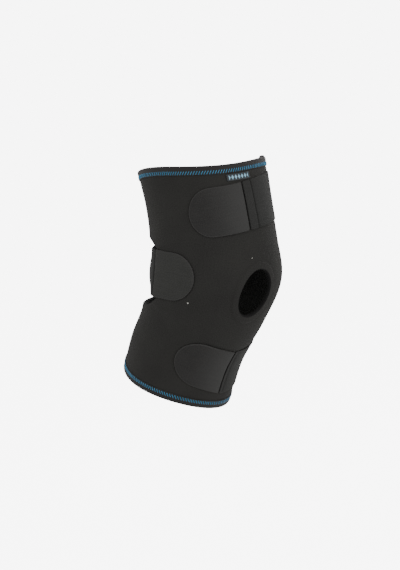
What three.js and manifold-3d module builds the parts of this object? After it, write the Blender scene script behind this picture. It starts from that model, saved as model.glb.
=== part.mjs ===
import * as THREE from 'three';
import Module from 'manifold-3d';
import { mergeVertices } from 'three/addons/utils/BufferGeometryUtils.js';

const wasm = await Module();
wasm.setup();

// Knee sleeve of the right-hand form, in millimetres, with the bend that it has in use.
// The origin is the middle of the bend inside the tube, +Z is up, the kneecap hole faces -Y
// and the side with the hook tabs faces -X.

// Sizes of the neoprene tube
const sleeveHeight = 228;
const wall = 4;
const thigh = { width: 125, front: 61.5, rear: 71 };
const knee = { width: 128, front: 71.5, rear: 64.5 };
const calf = { width: 112.5, front: 59, rear: 61.5 };

// Kneecap hole, an upright oval that leans a little
const holeLength = 51;
const holeWidth = 39;
const holeDrop = 6.5;
const holeTurn = 8;
const holeLean = 15;

// Window at the back of the bend, which the middle strap crosses
const windowHeight = 88;
const windowWidth = 178;
const windowRise = 7;

// Folded hem bands over both edges
const hemFlap = 9.5;
const hemCloth = 0.8;
const hemFold = 1.4;

// Straps and their hook tabs
const upperStrapWidth = 50;
const midStrapWidth = 50;
const lowerStrapWidth = 53;
const midStrapRise = 10;
const upperTabLength = 60;
const midTabLength = 54;
const lowerTabLength = 61;
const strapCloth = 2;
const tabCloth = 2.2;
const seamGap = 1.2;

// The middle strap sinks into the window and its edges curl further in. Shares of the window's
// half width say where it starts to sink, where it has sunk, and how far out it curls.
const strapSink = 6.5;
const sinkStartShare = 0.84;
const sinkEndShare = 0.58;
const strapCurl = 3.5;
const curlShare = 0.75;

// Woven label under the top hem
const labelWidth = 28;
const labelHeight = 7;
const labelCloth = 0.8;
const labelDrop = 1.4;
const labelTurn = 15;

// Free space between pieces that lie on each other
const hemClearance = 0.35;
const strapClearance = 0.5;
const labelToStrap = 2.1;
const hemToLowerStrap = 9.1;
const topToUpperStrap = hemFlap + labelDrop + labelHeight + labelToStrap;

// Sections of the bent tube from the top hem to the bottom hem. Heights and the shift to the back
// are shares of the sleeve's height, and half sizes are shares of the girth that the row names.
// Tilt turns a section back side up, and roll turns it outer side down, both in degrees.
const sections = [
  {
    at: 'top hem', girth: thigh, up: 0.5, back: 0.047, tilt: -12, roll: -3.2,
    width: 1, front: 1, rear: 1, square: 2.2,
  },
  {
    at: 'thigh', girth: thigh, up: 0.333, back: 0.014, tilt: -8.3, roll: -1.4,
    width: 1, front: 1.07, rear: 0.953, square: 2,
  },
  {
    at: 'above knee', girth: knee, up: 0.167, back: -0.007, tilt: -4.1, roll: 0.3,
    width: 1, front: 0.98, rear: 1.023, square: 2,
  },
  {
    at: 'knee', girth: knee, up: 0, back: 0, tilt: 1.7, roll: 1.4,
    width: 1, front: 1, rear: 1, square: 2.5,
  },
  {
    at: 'below knee', girth: knee, up: -0.167, back: 0.055, tilt: 8.6, roll: 2,
    width: 0.953, front: 0.933, rear: 0.978, square: 2.1,
  },
  {
    at: 'calf', girth: calf, up: -0.333, back: 0.144, tilt: 15.9, roll: 2.6,
    width: 1.027, front: 1.007, rear: 1.03, square: 2,
  },
  {
    at: 'bottom hem', girth: calf, up: -0.5, back: 0.213, tilt: 23.8, roll: 2.9,
    width: 1, front: 1, rear: 1, square: 2.05,
  },
];
const kneeMiddle = 0.5;

// Each hem rises and falls twice round the sleeve, and the wave dies out away from the hem.
const hemWaves = {
  top: { height: 4.3, crest: -57 },
  bottom: { height: 3.9, crest: 48 },
};
const waveReach = 0.35;

// Straps. Each middle line starts at a share of the way down and lies a distance below it. The
// tab's straight end and the strap's own end are angles round the sleeve. Slopes are the fall for
// each length travelled round the bend, away from the tab's straight end.
const straps = [
  {
    name: 'upper', from: 0, middleDrop: topToUpperStrap + upperStrapWidth / 2,
    width: upperStrapWidth, tabLength: upperTabLength,
    seam: 13.5, strapEnd: -75, tabSlope: 0.08, strapSlope: -0.08,
  },
  {
    name: 'mid', from: kneeMiddle, middleDrop: -midStrapRise,
    width: midStrapWidth, tabLength: midTabLength,
    seam: 110, strapEnd: 275, tabSlope: 0, strapSlope: 0.036,
  },
  {
    name: 'lower', from: 1, middleDrop: -(hemFlap + hemToLowerStrap + lowerStrapWidth / 2),
    width: lowerStrapWidth, tabLength: lowerTabLength,
    seam: 2.5, strapEnd: -85, tabSlope: -0.143, strapSlope: -0.09,
  },
];
const kneeRoundRate = (Math.PI * knee.width) / 360;

// How finely the faceted solids are cut
const columnsRound = 52;
const rowsDown = 24;
const columnAngle = 360 / columnsRound;
const strapColumnAngle = 5.5;
const holeFacets = 36;
const weldDistance = 1e-4;

// Rounded ends stop this many degrees short of a point, which keeps their last facets sound
const bluntEnd = 2;
const roundedTurn = 90 - bluntEnd;

const rad = THREE.MathUtils.degToRad;

function catmullRom(a, b, c, d, t) {
  const slopeB = (c - a) / 2;
  const slopeC = (d - b) / 2;
  const bend = 3 * (c - b) - 2 * slopeB - slopeC;
  const twist = 2 * (b - c) + slopeB + slopeC;
  return b + t * (slopeB + t * (bend + t * twist));
}

const sectionValues = sections.map((row) => [
  row.up * sleeveHeight,
  row.back * sleeveHeight,
  row.tilt,
  row.roll,
  (row.girth.width / 2) * row.width,
  row.girth.front * row.front,
  row.girth.rear * row.rear,
  row.square,
]);

// The section at a share of the way down, 0 at the top hem and 1 at the bottom hem
function sectionAt(down) {
  const last = sectionValues.length - 1;
  const place = down * last;
  const first = Math.min(Math.max(Math.floor(place), 0), last - 1);
  const b = sectionValues[first];
  const c = sectionValues[first + 1];
  const a = sectionValues[first - 1] ?? b.map((value, k) => 2 * value - c[k]);
  const d = sectionValues[first + 2] ?? c.map((value, k) => 2 * value - b[k]);
  return b.map((value, k) => catmullRom(a[k], value, c[k], d[k], place - first));
}

function hemWave(wave, awayFromHem, around) {
  const fade = Math.max(0, 1 - awayFromHem / waveReach) ** 2;
  return fade * wave.height * Math.cos(2 * rad(around - wave.crest));
}

// A point of the neoprene's outer face: around is 0 at the front, 90 at the outer side, 180 behind.
function facePoint(down, around) {
  const [up, back, tilt, roll, halfWidth, front, rear, square] = sectionAt(down);
  const ahead = Math.cos(rad(around));
  const outward = Math.sin(rad(around));
  const depth = ahead > 0 ? front : rear;
  const reach = (Math.abs(ahead) ** square + Math.abs(outward) ** square) ** (-1 / square);
  const across = -halfWidth * reach * outward;
  const behind = -depth * reach * ahead;
  const wave = hemWave(hemWaves.top, down, around) + hemWave(hemWaves.bottom, 1 - down, around);
  return new THREE.Vector3(
    across * Math.cos(rad(roll)),
    back + behind * Math.cos(rad(tilt)),
    up + behind * Math.sin(rad(tilt)) + across * Math.sin(rad(roll)) + wave,
  );
}

// Small steps over which the slope of the face is taken
const slopeStep = { down: 0.004, around: 1 };

// Travel over the face for each share of the way down
function slopeDown(down, around) {
  const low = facePoint(down + slopeStep.down, around);
  const high = facePoint(down - slopeStep.down, around);
  return low.sub(high).divideScalar(2 * slopeStep.down);
}

// A point at a distance outside the face, or inside it where the distance is negative
function pointAt(down, around, out) {
  const ahead = facePoint(down, around - slopeStep.around);
  const beyond = facePoint(down, around + slopeStep.around);
  const normal = beyond.sub(ahead).cross(slopeDown(down, around)).normalize();
  return facePoint(down, around).addScaledVector(normal, out);
}

// Walks a distance down the face, or up where it is negative, and gives the share reached.
function walkDown(start, around, distance) {
  const steps = 8;
  let down = start;
  for (let step = 0; step < steps; step += 1) {
    const half = distance / steps / 2;
    const middle = down + half / slopeDown(down, around).length();
    down += (2 * half) / slopeDown(middle, around).length();
  }
  return down;
}

// Millimetres for each degree round the sleeve, along the middle line of a strap
function roundRate(down, around) {
  const ahead = facePoint(down, around - slopeStep.around);
  const beyond = facePoint(down, around + slopeStep.around);
  return ahead.distanceTo(beyond) / (2 * slopeStep.around);
}

function signedVolume(positions, index) {
  const [a, b, c] = [new THREE.Vector3(), new THREE.Vector3(), new THREE.Vector3()];
  let total = 0;
  for (let k = 0; k < index.length; k += 3) {
    a.fromArray(positions, 3 * index[k]);
    b.fromArray(positions, 3 * index[k + 1]);
    c.fromArray(positions, 3 * index[k + 2]);
    total += a.dot(b.cross(c)) / 6;
  }
  return total;
}

function solidGeometry(points, triangles) {
  const positions = points.flatMap((point) => point.toArray());
  const facingIn = signedVolume(positions, triangles.flat()) < 0;
  const index = triangles.flatMap(([a, b, c]) => (facingIn ? [a, c, b] : [a, b, c]));
  const geometry = new THREE.BufferGeometry();
  geometry.setAttribute('position', new THREE.Float32BufferAttribute(positions, 3));
  geometry.setIndex(index);
  return geometry;
}

// A solid between two sheets of rows and columns. place(i, j, side) gives a corner on the outer
// sheet, side 0, or the inner one, side 1. A sheet that goes round joins its last column to the first.
function sheetSolid(rows, columns, goesRound, place) {
  const stride = goesRound ? columns : columns + 1;
  const sheetSize = (rows + 1) * stride;
  const points = [];
  for (const side of [0, 1]) {
    for (let i = 0; i <= rows; i += 1) {
      for (let j = 0; j < stride; j += 1) {
        points.push(place(i, j, side));
      }
    }
  }
  const corner = (i, j, side) => side * sheetSize + i * stride + (j % stride);
  const triangles = [];
  const quad = (a, b, c, d) => triangles.push([a, b, c], [a, c, d]);
  for (let i = 0; i < rows; i += 1) {
    for (let j = 0; j < columns; j += 1) {
      quad(corner(i, j, 0), corner(i + 1, j, 0), corner(i + 1, j + 1, 0), corner(i, j + 1, 0));
      quad(corner(i, j, 1), corner(i, j + 1, 1), corner(i + 1, j + 1, 1), corner(i + 1, j, 1));
    }
  }
  for (let j = 0; j < columns; j += 1) {
    quad(corner(0, j, 0), corner(0, j + 1, 0), corner(0, j + 1, 1), corner(0, j, 1));
    quad(corner(rows, j + 1, 0), corner(rows, j, 0), corner(rows, j, 1), corner(rows, j + 1, 1));
  }
  if (!goesRound) {
    for (let i = 0; i < rows; i += 1) {
      quad(corner(i + 1, 0, 0), corner(i, 0, 0), corner(i, 0, 1), corner(i + 1, 0, 1));
      const last = corner(i, columns, 0);
      quad(last, corner(i + 1, columns, 0), corner(i + 1, columns, 1), corner(i, columns, 1));
    }
  }
  return solidGeometry(points, triangles);
}

// A closed outline carried round the sleeve. place(k, j) gives the outline's corner k at column j.
function hoopSolid(corners, columns, place) {
  const points = [];
  const triangles = [];
  for (let k = 0; k < corners; k += 1) {
    for (let j = 0; j < columns; j += 1) {
      points.push(place(k, j));
      const nextRow = ((k + 1) % corners) * columns;
      const nextColumn = (j + 1) % columns;
      triangles.push([k * columns + j, nextRow + j, nextRow + nextColumn]);
      triangles.push([k * columns + j, nextRow + nextColumn, k * columns + nextColumn]);
    }
  }
  return solidGeometry(points, triangles);
}

function toManifold(geometry) {
  return new wasm.Manifold(new wasm.Mesh({
    numProp: 3,
    vertProperties: Float32Array.from(geometry.attributes.position.array),
    triVerts: Uint32Array.from(geometry.index.array),
  }));
}

function cutAway(geometry, cutters) {
  const cut = cutters.reduce((solid, cutter) => solid.subtract(toManifold(cutter)), toManifold(geometry));
  const mesh = cut.getMesh();
  const result = new THREE.BufferGeometry();
  result.setAttribute('position', new THREE.BufferAttribute(mesh.vertProperties, 3));
  result.setIndex(new THREE.BufferAttribute(mesh.triVerts, 1));
  return result;
}

// The neoprene tube, whose edges stop inside the folded hem bands
function neopreneTube() {
  const edge = hemFold + hemClearance;
  return sheetSolid(rowsDown, columnsRound, true, (i, j, side) => {
    const around = j * columnAngle;
    const top = walkDown(0, around, edge);
    const bottom = walkDown(1, around, -edge);
    const down = top + (bottom - top) * (i / rowsDown);
    return pointAt(down, around, side === 0 ? 0 : -wall);
  });
}

// An oval plug through the front wall, square to the neoprene at the middle of the hole
function kneecapCutter() {
  const reach = 5 * wall;
  const oval = new THREE.Shape();
  oval.absellipse(0, 0, holeWidth / 2, holeLength / 2, 0, 2 * Math.PI, false, 0);
  const throughWall = { depth: 2 * reach, bevelEnabled: false, curveSegments: holeFacets };
  const plug = new THREE.ExtrudeGeometry(oval, throughWall);
  plug.deleteAttribute('normal');
  plug.deleteAttribute('uv');
  plug.translate(0, 0, -reach);
  plug.rotateZ(-rad(holeLean));
  const down = walkDown(kneeMiddle, holeTurn, holeDrop);
  const middle = facePoint(down, holeTurn);
  const normal = pointAt(down, holeTurn, 1).sub(middle);
  const lengthwise = slopeDown(down, holeTurn).normalize().negate();
  const crosswise = new THREE.Vector3().crossVectors(lengthwise, normal).normalize();
  const basis = new THREE.Matrix4().makeBasis(crosswise, lengthwise, normal.normalize());
  plug.applyMatrix4(basis.setPosition(middle));
  return mergeVertices(plug, weldDistance);
}

const windowMiddle = walkDown(kneeMiddle, 90, -windowRise);
const windowHalfTurn = windowWidth / 2 / roundRate(windowMiddle, 180);

// A plug through the rear wall with the window's rounded outline, which follows the wall round
function windowCutter() {
  const columns = 24;
  const rows = 10;
  const roundness = 3;
  const reach = 2 * wall;
  return sheetSolid(rows, columns, false, (i, j, side) => {
    const across = Math.sin(rad(roundedTurn * ((2 * j) / columns - 1)));
    const halfHeight = (windowHeight / 2) * (1 - Math.abs(across) ** roundness) ** (1 / roundness);
    const down = walkDown(windowMiddle, 90, halfHeight * ((2 * i) / rows - 1));
    return pointAt(down, 180 + windowHalfTurn * across, side === 0 ? reach : -wall - reach);
  });
}

// A hem band: a strip of cloth folded over the edge, with one flap outside and one inside
function hemBand(hem, direction) {
  const middle = -wall / 2;
  const halfOutside = wall / 2 + hemClearance + hemCloth;
  const halfInside = wall / 2 + hemClearance;
  const foldAngles = [50, 0, -50];
  const outline = [
    [hemFlap, middle + halfInside],
    [hemFlap, middle + halfOutside],
    [hemFold, middle + halfOutside],
    ...foldAngles.map((angle) => [
      hemFold * (1 - Math.cos(rad(angle))),
      middle + halfOutside * Math.sin(rad(angle)),
    ]),
    [hemFold, middle - halfOutside],
    [hemFlap, middle - halfOutside],
    [hemFlap, middle - halfInside],
    [hemFold, middle - halfInside],
    [hemFold, middle + halfInside],
  ];
  return hoopSolid(outline.length, columnsRound, (k, j) => {
    const around = j * columnAngle;
    const [fromHem, out] = outline[k];
    return pointAt(walkDown(hem, around, direction * fromHem), around, out);
  });
}

// Which way round the sleeve the strap runs from its tab's straight end, 1 or -1
function wayOf(strap) {
  return Math.sign(strap.strapEnd - strap.seam);
}

// The share down at the middle line of a strap and its tab, at an angle round the sleeve
function strapMiddle(strap, around) {
  const onStrap = (around - strap.seam) * wayOf(strap) > 0;
  const slope = onStrap ? strap.strapSlope : strap.tabSlope;
  const travelled = Math.abs(around - strap.seam) * kneeRoundRate;
  return walkDown(strap.from, around, strap.middleDrop + slope * travelled);
}

// The angle reached by walking along a strap's middle line from the tab's straight end
function walkRound(strap, distance) {
  const steps = 12;
  let around = strap.seam;
  for (let step = 0; step < steps; step += 1) {
    around += distance / steps / roundRate(strapMiddle(strap, around), around);
  }
  return around;
}

// A point on a strap or tab: across is the distance below its middle line
function strapPoint(strap, around, across, out) {
  return pointAt(walkDown(strapMiddle(strap, around), around, across), around, out);
}

// A hook tab with a straight end beside the strap and a half-round free end
function hookTab(strap) {
  const columns = 14;
  const rows = 8;
  const half = strap.width / 2;
  const straight = strap.tabLength - half;
  const straightColumns = 5;
  return sheetSolid(rows, columns, false, (i, j, side) => {
    const turn = rad((roundedTurn * Math.max(0, j - straightColumns)) / (columns - straightColumns));
    const along = j <= straightColumns
      ? (straight * j) / straightColumns
      : straight + half * Math.sin(turn);
    const across = half * Math.cos(turn) * ((2 * i) / rows - 1);
    const around = walkRound(strap, -wayOf(strap) * (along + seamGap / 2));
    return strapPoint(strap, around, across, strapClearance + (side === 0 ? tabCloth : 0));
  });
}

function softStep(value) {
  const share = Math.min(Math.max(value, 0), 1);
  return share * share * (3 - 2 * share);
}

// How far in the middle strap lies where the window is behind it, and its edges lie deeper still
function sinkAt(strap, around, acrossShare) {
  if (strap.name !== 'mid') {
    return 0;
  }
  const fromBack = Math.abs(around - 180) / windowHalfTurn;
  const sink = strapSink * softStep((sinkStartShare - fromBack) / (sinkStartShare - sinkEndShare));
  const curl = strapCurl * Math.max(0, 1 - (fromBack / curlShare) ** 2);
  return sink + curl * acrossShare ** 2;
}

// A strap from its tab's straight end to the stitched end on the inner side of the sleeve
function strapBand(strap) {
  const rows = 6;
  const start = walkRound(strap, (wayOf(strap) * seamGap) / 2);
  const columns = Math.ceil(Math.abs(strap.strapEnd - start) / strapColumnAngle);
  return sheetSolid(rows, columns, false, (i, j, side) => {
    const around = start + ((strap.strapEnd - start) * j) / columns;
    const acrossShare = (2 * i) / rows - 1;
    const out = strapClearance + (side === 0 ? strapCloth : 0) - sinkAt(strap, around, acrossShare);
    return strapPoint(strap, around, (strap.width / 2) * acrossShare, out);
  });
}

function wovenLabel() {
  const columns = 6;
  const rows = 2;
  return sheetSolid(rows, columns, false, (i, j, side) => {
    const topEdge = walkDown(0, labelTurn, hemFlap + labelDrop);
    const halfTurn = labelWidth / 2 / roundRate(topEdge, labelTurn);
    const around = labelTurn + halfTurn * ((2 * j) / columns - 1);
    const down = walkDown(0, around, hemFlap + labelDrop + (labelHeight * i) / rows);
    return pointAt(down, around, hemClearance + (side === 0 ? labelCloth : 0));
  });
}

const finishes = {
  neoprene: { color: '#2b2a28', roughness: 0.9, metalness: 0 },
  hem: { color: '#232221', roughness: 0.85, metalness: 0 },
  hookTab: { color: '#454442', roughness: 0.8, metalness: 0 },
  webbing: { color: '#3f3f3f', roughness: 0.85, metalness: 0 },
  label: { color: '#1f2226', roughness: 0.7, metalness: 0 },
};

const kneeSleeve = new THREE.Group();

function addPiece(name, geometry, finish) {
  const mesh = new THREE.Mesh(geometry, new THREE.MeshStandardMaterial(finish));
  mesh.name = name;
  kneeSleeve.add(mesh);
}

addPiece('sleeve', cutAway(neopreneTube(), [kneecapCutter(), windowCutter()]), finishes.neoprene);
addPiece('top_binding', hemBand(0, 1), finishes.hem);
addPiece('bottom_binding', hemBand(1, -1), finishes.hem);
for (const strap of straps) {
  addPiece(`${strap.name}_strap`, strapBand(strap), finishes.webbing);
  addPiece(`${strap.name}_tab`, hookTab(strap), finishes.hookTab);
}
addPiece('label', wovenLabel(), finishes.label);

export default kneeSleeve;
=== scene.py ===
import math

import bmesh
import bpy
import numpy as np
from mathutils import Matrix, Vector
from mathutils.geometry import delaunay_2d_cdt


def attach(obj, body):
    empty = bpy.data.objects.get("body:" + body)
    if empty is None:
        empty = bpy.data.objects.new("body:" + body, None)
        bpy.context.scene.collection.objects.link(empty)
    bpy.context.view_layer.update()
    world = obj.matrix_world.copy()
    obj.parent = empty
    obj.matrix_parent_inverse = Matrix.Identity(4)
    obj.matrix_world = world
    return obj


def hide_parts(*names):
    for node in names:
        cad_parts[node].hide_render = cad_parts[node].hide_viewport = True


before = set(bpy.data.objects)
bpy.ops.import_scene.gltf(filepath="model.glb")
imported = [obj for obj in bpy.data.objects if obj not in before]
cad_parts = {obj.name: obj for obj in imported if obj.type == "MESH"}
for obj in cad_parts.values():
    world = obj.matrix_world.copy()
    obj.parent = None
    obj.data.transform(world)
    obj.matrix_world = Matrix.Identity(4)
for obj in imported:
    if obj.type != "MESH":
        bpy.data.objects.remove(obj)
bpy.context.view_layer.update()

# Knee sleeve of the right-hand form, bent as in use. Lengths are millimetres until a mesh is made.
MM = 0.001

# Camera: at the side with the hook tabs, a little to the front and above
CAMERA_AZIMUTH = math.radians(-47.06)
CAMERA_ELEVATION = math.radians(9.01)
CAMERA_DISTANCE = 2.2
CAMERA_STEP_LEFT = 0.0116
CAMERA_STEP_DOWN = 0.0079
CAMERA_LENS = 134.0


def camera_directions():
    """Unit vectors from the origin back to the camera, to its right and up."""
    back = Vector((
        math.sin(CAMERA_AZIMUTH) * math.cos(CAMERA_ELEVATION),
        -math.cos(CAMERA_AZIMUTH) * math.cos(CAMERA_ELEVATION),
        math.sin(CAMERA_ELEVATION),
    ))
    right = Vector((math.cos(CAMERA_AZIMUTH), math.sin(CAMERA_AZIMUTH), 0.0))
    return back, right, back.cross(right)


def set_up_camera():
    """A long lens, moved a little so that the sleeve stands where it does in the photograph."""
    back, right, up = camera_directions()
    data = bpy.data.cameras.new("camera")
    data.lens = CAMERA_LENS
    data.clip_end = 100.0
    camera = bpy.data.objects.new("camera", data)
    camera.location = back * CAMERA_DISTANCE - right * CAMERA_STEP_LEFT - up * CAMERA_STEP_DOWN
    camera.rotation_euler = back.to_track_quat("Z", "Y").to_euler()
    bpy.context.scene.collection.objects.link(camera)
    bpy.context.scene.camera = camera


set_up_camera()

# The form of the bent tube, as in the solids
SLEEVE_HEIGHT = 228.0
WALL = 4.0
THIGH = {"width": 125.0, "front": 61.5, "rear": 71.0}
KNEE = {"width": 128.0, "front": 71.5, "rear": 64.5}
CALF = {"width": 112.5, "front": 59.0, "rear": 61.5}
KNEE_MIDDLE = 0.5

# Sections from the top hem to the bottom hem. Up and back are shares of the height, width,
# front and rear are shares of the girth named, tilt and roll are degrees.
SECTION_COLUMNS = ("girth", "up", "back", "tilt", "roll", "width", "front", "rear", "square")
SECTION_ROWS = (
    (THIGH, 0.5, 0.047, -12, -3.2, 1, 1, 1, 2.2),
    (THIGH, 0.333, 0.014, -8.3, -1.4, 1, 1.07, 0.953, 2),
    (KNEE, 0.167, -0.007, -4.1, 0.3, 1, 0.98, 1.023, 2),
    (KNEE, 0, 0, 1.7, 1.4, 1, 1, 1, 2.5),
    (KNEE, -0.167, 0.055, 8.6, 2, 0.953, 0.933, 0.978, 2.1),
    (CALF, -0.333, 0.144, 15.9, 2.6, 1.027, 1.007, 1.03, 2),
    (CALF, -0.5, 0.213, 23.8, 2.9, 1, 1, 1, 2.05),
)
TOP_WAVE = {"height": 4.3, "crest": -57}
BOTTOM_WAVE = {"height": 3.9, "crest": 48}
WAVE_REACH = 0.35


def section_table():
    """Sections in millimetres and radians, with one more beyond each hem for the blending."""
    rows = []
    for values in SECTION_ROWS:
        row = dict(zip(SECTION_COLUMNS, values))
        girth = row["girth"]
        rows.append((
            row["up"] * SLEEVE_HEIGHT,
            row["back"] * SLEEVE_HEIGHT,
            math.radians(row["tilt"]),
            math.radians(row["roll"]),
            girth["width"] / 2 * row["width"],
            girth["front"] * row["front"],
            girth["rear"] * row["rear"],
            row["square"],
        ))
    table = np.array(rows, float)
    before = 2 * table[0] - table[1]
    after = 2 * table[-1] - table[-2]
    return np.vstack([before, table, after])


SECTIONS = section_table()


def section_at(down):
    """Smoothly blended section values at shares of the way down from the top hem."""
    last = len(SECTIONS) - 3
    place = np.asarray(down, float) * last
    first = np.clip(np.floor(place).astype(int), 0, last - 1)
    t = (place - first)[..., None]
    a, b, c, d = (SECTIONS[first + k] for k in range(4))
    slope_b = (c - a) / 2
    slope_c = (d - b) / 2
    bend = 3 * (c - b) - 2 * slope_b - slope_c
    twist = 2 * (b - c) + slope_b + slope_c
    return b + t * (slope_b + t * (bend + t * twist))


def hem_wave(wave, away, around):
    """How far a hem's wave lifts the sections, at a share of the way from that hem."""
    fade = np.maximum(0, 1 - away / WAVE_REACH) ** 2
    return fade * wave["height"] * np.cos(2 * np.radians(around - wave["crest"]))


def face(down, around):
    """Points of the neoprene's outer face. Around is 0 in front and 90 where the tabs are."""
    down, around = np.broadcast_arrays(np.asarray(down, float), np.asarray(around, float))
    up, back, tilt, roll, half_width, front, rear, square = np.moveaxis(section_at(down), -1, 0)
    ahead = np.cos(np.radians(around))
    outward = np.sin(np.radians(around))
    depth = np.where(ahead > 0, front, rear)
    reach = (np.abs(ahead) ** square + np.abs(outward) ** square) ** (-1 / square)
    across = -half_width * reach * outward
    behind = -depth * reach * ahead
    wave = hem_wave(TOP_WAVE, down, around) + hem_wave(BOTTOM_WAVE, 1 - down, around)
    return np.stack([
        across * np.cos(roll),
        back + behind * np.cos(tilt),
        up + behind * np.sin(tilt) + across * np.sin(roll) + wave,
    ], -1)


# Small steps that slopes are measured over: a share of the way down, and degrees round
STEP_DOWN = 0.004
STEP_ROUND = 1.0


def length(vectors):
    return np.linalg.norm(vectors, axis=-1)


def slope_down(down, around):
    """The way the face runs down, in millimetres for the whole way."""
    return (face(down + STEP_DOWN, around) - face(down - STEP_DOWN, around)) / (2 * STEP_DOWN)


def on_face(down, around, out):
    """Points at a distance outside the face, or inside it where the distance is negative."""
    ahead = face(down, around - STEP_ROUND)
    beyond = face(down, around + STEP_ROUND)
    normal = np.cross(beyond - ahead, slope_down(down, around))
    normal /= length(normal)[..., None]
    return face(down, around) + normal * np.asarray(out, float)[..., None]


def walk_down(start, around, distance):
    """Shares reached by walking distances down the face."""
    steps = 8
    down = start + 0 * np.asarray(around, float) * distance
    for _ in range(steps):
        half = distance / steps / 2
        middle = down + half / length(slope_down(down, around))
        down = down + 2 * half / length(slope_down(middle, around))
    return down


def round_rate(down, around):
    """Millimetres for each degree round the sleeve."""
    return length(face(down, around + STEP_ROUND) - face(down, around - STEP_ROUND)) / (2 * STEP_ROUND)


# Colours and materials
def linear(hex_colour):
    """An sRGB hex colour as linear red, green, blue and alpha."""
    channels = [int(hex_colour[k:k + 2], 16) / 255 for k in (1, 3, 5)]
    return [c / 12.92 if c <= 0.04045 else ((c + 0.055) / 1.055) ** 2.4 for c in channels] + [1.0]


def add(tree, kind, links=None, **settings):
    """Adds a node with its settings. Each link is a socket to join, a hex colour or a value to set."""
    node = tree.nodes.new(kind)
    for name, value in settings.items():
        setattr(node, name, value)
    for socket, value in (links or {}).items():
        if isinstance(value, bpy.types.NodeSocket):
            tree.links.new(value, node.inputs[socket])
        elif isinstance(value, str):
            node.inputs[socket].default_value = linear(value)
        else:
            node.inputs[socket].default_value = value
    return node


# Places of the sockets of a colour mix, since its float sockets share their names
SHARE = 0
LOW = 6
HIGH = 7
MIXED = 2


def start_material(name, **shader_values):
    """An empty material with one shader, whose plain values sit on the shader's own sockets."""
    material = bpy.data.materials.new(name)
    material.use_nodes = True
    tree = material.node_tree
    tree.nodes.clear()
    shader = add(tree, "ShaderNodeBsdfPrincipled", {
        socket.replace("_", " "): value for socket, value in shader_values.items()
    })
    add(tree, "ShaderNodeOutputMaterial", {"Surface": shader.outputs["BSDF"]})
    return material, tree, shader


def dress(tree, shader, colour, height, strength, depth):
    """Gives a cloth its colour and raises its threads or cells by a depth in millimetres."""
    tree.links.new(colour, shader.inputs["Base Color"])
    bump = add(tree, "ShaderNodeBump", {"Height": height, "Strength": strength, "Distance": depth * MM})
    tree.links.new(bump.outputs["Normal"], shader.inputs["Normal"])


def cloth_mm(tree):
    """The place on the flat cloth, in millimetres, along and across."""
    place = add(tree, "ShaderNodeUVMap", uv_map="cloth")
    scaled = add(tree, "ShaderNodeVectorMath", {0: place.outputs["UV"], 1: (1 / MM, 1 / MM, 1 / MM)},
                 operation="MULTIPLY")
    return scaled.outputs["Vector"]


def even_ribs(tree, distance, pitch, low=0.0):
    """Height from low to 1 of even ribs, a pitch apart in millimetres."""
    turns = add(tree, "ShaderNodeMath", {0: distance, 1: 2 * math.pi / pitch}, operation="MULTIPLY")
    wave = add(tree, "ShaderNodeMath", {0: turns.outputs[0]}, operation="SINE")
    height = add(tree, "ShaderNodeMapRange", {
        "Value": wave.outputs[0], "From Min": -1.0, "From Max": 1.0, "To Min": low,
    })
    return height.outputs["Result"]


def knit_loops(tree, place, wale, course):
    """Height from 0 to 1 of a jersey face: upright wales of V-shaped loops, sizes in millimetres."""
    parts = add(tree, "ShaderNodeSeparateXYZ", {"Vector": place})
    wale_turns = add(tree, "ShaderNodeMath", {0: parts.outputs["X"], 1: math.pi / wale}, operation="MULTIPLY")
    wale_wave = add(tree, "ShaderNodeMath", {0: wale_turns.outputs[0]}, operation="SINE")
    wale_ridge = add(tree, "ShaderNodeMath", {0: wale_wave.outputs[0]}, operation="ABSOLUTE")
    slant = add(tree, "ShaderNodeMath", {0: wale_ridge.outputs[0], 1: course / 2}, operation="MULTIPLY")
    lifted = add(tree, "ShaderNodeMath", {0: parts.outputs["Y"], 1: slant.outputs[0]}, operation="ADD")
    loop_share = even_ribs(tree, lifted.outputs[0], course, low=0.4)
    both = add(tree, "ShaderNodeMath", {0: wale_ridge.outputs[0], 1: loop_share}, operation="MULTIPLY")
    return both.outputs[0]


def mottling(tree, place, size, low=0.3, high=0.7, detail=3.0):
    """Uneven patches of a real size in millimetres, spread from 0 at low to 1 at high."""
    noise = add(tree, "ShaderNodeTexNoise", {"Vector": place, "Scale": 1 / size, "Detail": detail},
                noise_dimensions="2D")
    spread = add(tree, "ShaderNodeMapRange", {
        "Value": noise.outputs["Fac"], "From Min": low, "From Max": high,
    })
    return spread.outputs["Result"]


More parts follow.
